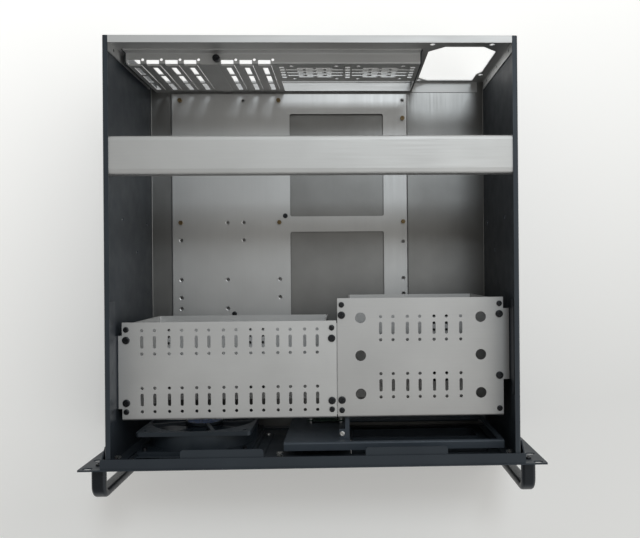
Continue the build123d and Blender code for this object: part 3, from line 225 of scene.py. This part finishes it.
def object_noise(tree, scale, detail=NOISE_DETAIL, stretch=EVEN):
    """Noise over the part's own coordinates, in waves per metre."""
    place = tree.nodes.new("ShaderNodeTexCoord")
    spread = tree.nodes.new("ShaderNodeMapping")
    spread.inputs["Scale"].default_value = stretch
    noise = tree.nodes.new("ShaderNodeTexNoise")
    noise.inputs["Scale"].default_value = scale
    noise.inputs["Detail"].default_value = detail
    link(tree, place.outputs["Object"], spread.inputs["Vector"])
    link(tree, spread.outputs["Vector"], noise.inputs["Vector"])
    return noise.outputs["Fac"]


def geometry_value(tree, output, axis):
    """One coordinate of the shaded point's position or normal."""
    geometry = tree.nodes.new("ShaderNodeNewGeometry")
    split = tree.nodes.new("ShaderNodeSeparateXYZ")
    link(tree, geometry.outputs[output], split.inputs["Vector"])
    return split.outputs[axis]


def set_colour(tree, shader, noise, tones):
    """Colour between two tones, from a noise value."""
    band = tree.nodes.new("ShaderNodeValToRGB")
    for element, position, tone in zip(band.color_ramp.elements, (NOISE_LOW, NOISE_HIGH), tones):
        element.position = position
        element.color = tone
    link(tree, noise, band.inputs["Fac"])
    link(tree, band.outputs["Color"], shader.inputs["Base Color"])


def set_roughness(tree, shader, noise, low, high):
    """Roughness between two numbers, from a noise value."""
    scale = tree.nodes.new("ShaderNodeMapRange")
    scale.inputs["From Min"].default_value = NOISE_LOW
    scale.inputs["From Max"].default_value = NOISE_HIGH
    scale.inputs["To Min"].default_value = low
    scale.inputs["To Max"].default_value = high
    link(tree, noise, scale.inputs["Value"])
    link(tree, scale.outputs["Result"], shader.inputs["Roughness"])


def set_relief(tree, shader, noise, strength, depth):
    """Fine relief from a noise value."""
    relief = tree.nodes.new("ShaderNodeBump")
    relief.inputs["Strength"].default_value = strength
    relief.inputs["Distance"].default_value = depth
    link(tree, noise, relief.inputs["Height"])
    link(tree, relief.outputs["Normal"], shader.inputs["Normal"])


def set_coat(tree, shader, tones, rough, relief):
    """Powder coat: a fine orange-peel grain and slightly uneven gloss."""
    shader.inputs["Specular IOR Level"].default_value = COAT_GLOSS
    shader.inputs["Specular Tint"].default_value = GLOSS_TINT
    set_colour(tree, shader, object_noise(tree, COAT_CLOUDS), tones)
    set_roughness(tree, shader, object_noise(tree, COAT_SHEEN), rough - COAT_SMOOTHER, rough + COAT_ROUGHER)
    set_relief(tree, shader, object_noise(tree, COAT_GRAIN), relief, COAT_DEPTH)


def set_sheet(tree, shader, tones, rough, along, clouds=SHEET_CLOUDS):
    """Rolled metal sheet: faint streaks along the rolling direction."""
    shader.inputs["Metallic"].default_value = 1.0
    sheen = object_noise(tree, SHEET_SHEEN, FINE_DETAIL, STREAKS[along])
    grain = object_noise(tree, SHEET_GRAIN, FINE_DETAIL, STREAKS[along])
    set_colour(tree, shader, object_noise(tree, clouds), tones)
    set_roughness(tree, shader, sheen, rough - SHEET_SPREAD, rough + SHEET_SPREAD)
    set_relief(tree, shader, grain, SHEET_RELIEF, SHEET_DEPTH)


def mix_shaders(tree, share, first, second):
    """Shows the second shader where the share is one, and the first where it is nought."""
    mix = tree.nodes.new("ShaderNodeMixShader")
    link(tree, share, mix.inputs["Fac"])
    link(tree, first.outputs["BSDF"], mix.inputs[1])
    link(tree, second.outputs["BSDF"], mix.inputs[2])
    link(tree, mix.outputs["Shader"], tree.nodes["Material Output"].inputs["Surface"])


def paint(name, tones, rough, relief):
    """Powder-coated sheet or tube."""
    material, tree, shader = new_material(name)
    set_coat(tree, shader, tones, rough, relief)
    return material


def plated(name, tones, rough, along):
    """Sheet with a plated face."""
    material, tree, shader = new_material(name)
    set_sheet(tree, shader, tones, rough, along)
    return material


def moulded(name, tones, rough):
    """Moulded plastic with a spark-eroded grain."""
    material, tree, shader = new_material(name)
    shader.inputs["Specular Tint"].default_value = GLOSS_TINT
    set_colour(tree, shader, object_noise(tree, MOULD_CLOUDS), tones)
    set_roughness(tree, shader, object_noise(tree, MOULD_SHEEN), rough - MOULD_SPREAD, rough + MOULD_SPREAD)
    set_relief(tree, shader, object_noise(tree, MOULD_GRAIN), MOULD_RELIEF, MOULD_DEPTH)
    return material


def turned(name, tones, rough):
    """Turned or rolled metal of small fasteners."""
    material, tree, shader = new_material(name)
    shader.inputs["Metallic"].default_value = 1.0
    sheen = object_noise(tree, TURNED_SHEEN)
    marks = object_noise(tree, TURNED_GRAIN, FINE_DETAIL, TURNED_MARKS)
    set_colour(tree, shader, object_noise(tree, TURNED_CLOUDS), tones)
    set_roughness(tree, shader, sheen, rough - TURNED_SMOOTHER, rough + TURNED_ROUGHER)
    set_relief(tree, shader, marks, TURNED_RELIEF, TURNED_DEPTH)
    return material


def tub_finish():
    """Dark coat on the walls and a bare rolled bottom on the inside."""
    material, tree, coat = new_material("tub_finish")
    set_coat(tree, coat, CASE_TONES, rough=0.44, relief=0.10)
    bare = tree.nodes.new("ShaderNodeBsdfPrincipled")
    set_sheet(tree, bare, BARE_TONES, rough=0.39, along="y", clouds=BARE_CLOUDS)
    low = math_node(tree, "LESS_THAN", geometry_value(tree, "Position", "Z"), BARE_BELOW)
    upward = math_node(tree, "GREATER_THAN", geometry_value(tree, "Normal", "Z"), FACES_UP)
    mix_shaders(tree, math_node(tree, "MULTIPLY", low, upward), coat, bare)
    return material


def recess_finish():
    """Plated sheet whose two end returns carry the dark coat."""
    material, tree, sheet = new_material("recess_sheet")
    set_sheet(tree, sheet, STEEL_TONES, rough=0.56, along="x")
    coat = tree.nodes.new("ShaderNodeBsdfPrincipled")
    coat.inputs["Roughness"].default_value = RETURN_ROUGH
    set_colour(tree, coat, object_noise(tree, COAT_CLOUDS), CASE_TONES)
    lowest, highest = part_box("slot_panel")
    across = geometry_value(tree, "Position", "X")
    left = math_node(tree, "LESS_THAN", across, lowest[0] + RETURN_WIDTH)
    right = math_node(tree, "GREATER_THAN", across, highest[0] - RETURN_WIDTH)
    mix_shaders(tree, math_node(tree, "ADD", left, right), sheet, coat)
    return material


def dress(material, *names):
    """Gives nodes of the frame a finish."""
    for name in names:
        mesh = nodes[name].data
        mesh.materials.clear()
        mesh.materials.append(material)


def fan_label():
    """Plain round label on the fan's motor cup, flush with the rear of the fan's frame."""
    lowest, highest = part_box("fan_frame")
    middle_x, middle_z = [(lowest[axis] + highest[axis]) / 2 for axis in (0, 2)]
    rings = [(LABEL_RADIUS, 0.0), (LABEL_RADIUS, LABEL_EDGE), (LABEL_RADIUS - LABEL_THICK, 1.0),
             (LABEL_RADIUS * LABEL_INNER, 1.0)]
    points, faces = [], []
    for radius, share in rings:
        for step in range(LABEL_STEPS):
            turn = 2.0 * math.pi * step / LABEL_STEPS
            points.append((middle_x + radius * math.cos(turn), highest[1] + share * LABEL_THICK,
                           middle_z + radius * math.sin(turn)))
    for ring in range(len(rings) - 1):
        for step in range(LABEL_STEPS):
            this = ring * LABEL_STEPS + step
            following = ring * LABEL_STEPS + (step + 1) % LABEL_STEPS
            faces.append((following, this, this + LABEL_STEPS, following + LABEL_STEPS))
    last = (len(rings) - 1) * LABEL_STEPS
    faces.append(tuple(range(last + LABEL_STEPS - 1, last - 1, -1)))
    mesh = bpy.data.meshes.new("fan_label")
    mesh.from_pydata(points, [], faces)
    mesh.materials.append(moulded("label_film", LABEL_TONES, rough=0.30))
    label = bpy.data.objects.new("fan_label", mesh)
    bpy.context.collection.objects.link(label)
    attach(label, "case")


def set_camera():
    """Camera that looks straight down into the open case."""
    data = bpy.data.cameras.new("photo_camera")
    data.sensor_fit = "HORIZONTAL"
    data.sensor_width = CAMERA_SENSOR
    data.lens = CAMERA_LENS
    data.shift_x, data.shift_y = CAMERA_SHIFT
    data.clip_start = CAMERA_NEAR
    data.clip_end = CAMERA_FAR
    camera = bpy.data.objects.new("photo_camera", data)
    camera.location = CAMERA_PLACE
    camera.rotation_euler = [math.radians(angle) for angle in CAMERA_TURN]
    bpy.context.collection.objects.link(camera)
    bpy.context.scene.camera = camera


def set_room():
    """A pale room that is lighter to the right of the case and at the horizon."""
    world = bpy.data.worlds.new("room")
    bpy.context.scene.world = world
    world.use_nodes = True
    tree = world.node_tree
    light = tree.nodes["Background"]
    way = tree.nodes.new("ShaderNodeTexCoord").outputs["Generated"]
    parts = tree.nodes.new("ShaderNodeSeparateXYZ")
    link(tree, way, parts.inputs["Vector"])
    level = limited(tree, lean_value(tree, way, ROOM_LEAN, ROOM_MEAN), ROOM_LEAST, ROOM_MOST)
    above = eased(tree, parts.outputs["Z"], HORIZON_TOP, HORIZON_END)
    link(tree, blended(tree, above, HORIZON, level), light.inputs["Strength"])
    tint = tree.nodes.new("ShaderNodeValToRGB")
    tint.color_ramp.elements[0].color = ROOM_TINT_LOW
    tint.color_ramp.elements[1].color = ROOM_TINT_HIGH
    link(tree, parts.outputs["Z"], tint.inputs["Fac"])
    link(tree, tint.outputs["Color"], light.inputs["Color"])


def set_lamp():
    """Square soft box, aimed at a point."""
    data = bpy.data.lights.new("rear_lamp", "AREA")
    data.shape = "SQUARE"
    data.size = LAMP_SIZE
    data.energy = LAMP_POWER
    data.color = LAMP_COLOUR
    lamp = bpy.data.objects.new("rear_lamp", data)
    lamp.location = LAMP_PLACE
    way = [aim - place for aim, place in zip(LAMP_AIM, LAMP_PLACE)]
    tilt = math.atan2(math.hypot(way[0], way[1]), -way[2])
    lamp.rotation_euler = (tilt, 0.0, math.atan2(way[1], way[0]) - math.pi / 2)
    bpy.context.collection.objects.link(lamp)


def floor_finish():
    """Pale matt floor with a glow that only the camera and reflections see."""
    material, tree, shader = new_material("floor")
    shader.inputs["Base Color"].default_value = FLOOR_COLOUR
    shader.inputs["Roughness"].default_value = FLOOR_ROUGH
    shader.inputs["Specular IOR Level"].default_value = FLOOR_GLOSS
    shader.inputs["Emission Color"].default_value = FLOOR_COLOUR
    place = tree.nodes.new("ShaderNodeTexCoord").outputs["Object"]
    leaning = lean_value(tree, place, FLOOR_GLOW_LEAN, FLOOR_GLOW)
    near = limited(tree, leaning, FLOOR_GLOW_LEAST, FLOOR_GLOW_MOST)
    reach = tree.nodes.new("ShaderNodeVectorMath")
    reach.operation = "LENGTH"
    link(tree, place, reach.inputs[0])
    far = eased(tree, reach.outputs["Value"], FLOOR_FAR_FROM, FLOOR_FAR_TO)
    glow = blended(tree, far, near, FLOOR_GLOW_FAR)
    path = tree.nodes.new("ShaderNodeLightPath")
    seen = math_node(tree, "MAXIMUM", path.outputs["Is Camera Ray"], path.outputs["Is Glossy Ray"])
    seen = math_node(tree, "MAXIMUM", seen, path.outputs["Is Transmission Ray"])
    link(tree, math_node(tree, "MULTIPLY", glow, seen), shader.inputs["Emission Strength"])
    return material


def set_floor():
    """Square floor just under the case."""
    corners = [(-FLOOR_HALF, -FLOOR_HALF, FLOOR_Z), (FLOOR_HALF, -FLOOR_HALF, FLOOR_Z),
               (FLOOR_HALF, FLOOR_HALF, FLOOR_Z), (-FLOOR_HALF, FLOOR_HALF, FLOOR_Z)]
    mesh = bpy.data.meshes.new("floor")
    mesh.from_pydata(corners, [], [(0, 1, 2, 3)])
    mesh.materials.append(floor_finish())
    floor = bpy.data.objects.new("floor", mesh)
    bpy.context.collection.objects.link(floor)


# Painted pieces
dress(tub_finish(), "chassis_tub")
dress(paint("case_paint", CASE_TONES, rough=0.44, relief=0.06), "front_plate", "front_frame", "fan_bracket")
# Bay bracket: a lighter copy of the case coat, painted fill light where little light reaches
dress(paint("bracket_coat_painted_fill", BRACKET_FILL_LIGHT_TONES, rough=0.42, relief=0.06), "bay_bracket")
dress(paint("rail_coat", RAIL_TONES, rough=0.38, relief=0.06), "left_cage_rail", "right_cage_rail")
dress(paint("handle_coat", HANDLE_TONES, rough=0.30, relief=0.04), "left_handle", "right_handle")

# Plated sheets
dress(plated("tray_sheet", TRAY_TONES, rough=0.48, along="y"), "board_tray")
dress(plated("left_cage_sheet", STEEL_TONES, rough=0.54, along="x"),
      "left_cage_top", "left_cage_frame", "cage_strap")
# Right cage: a darker copy of the left cage's steel; the difference is painted shade
dress(plated("right_cage_sheet_painted_shade", RIGHT_CAGE_SHADED_TONES, rough=0.54, along="x"),
      "right_cage_top", "right_cage_frame")
dress(plated("brace_sheet", BRACE_TONES, rough=0.56, along="x"), "cross_brace")
dress(plated("rear_sheet", STEEL_TONES, rough=0.60, along="x"), "rear_panel", "slot_cover")
dress(recess_finish(), "slot_panel")

# Fasteners and other small metal
dress(turned("black_screw", BLACK_SCREW_TONES, rough=0.34),
      "slot_thumbscrew", "tray_screws", "cage_small_screws", "cage_large_screws", "fan_screws",
      "handle_screws", "front_rivets", "wall_rivets")
dress(turned("bright_screw", BRIGHT_SCREW_TONES, rough=0.26),
      "fan_bracket_screws", "bay_screws", "port_board_screws", "port_sockets", "panel_pillars")
dress(turned("standoff_brass", BRASS_TONES, rough=0.30), "board_standoffs")

# Plastics
dress(moulded("black_plastic", PLASTIC_TONES, rough=0.42),
      "fan_frame", "lower_bay_blank", "upper_bay_blank", "power_switch", "reset_switch", "power_button",
      "reset_button")
dress(moulded("rotor_plastic", ROTOR_TONES, rough=0.36), "fan_rotor")
dress(moulded("board_laminate", BOARD_TONES, rough=0.35), "port_board")
dress(moulded("lamp_plastic", LAMP_TONES, rough=0.25), "indicator_lamps")
fan_label()

set_camera()
set_room()
set_lamp()
set_floor()
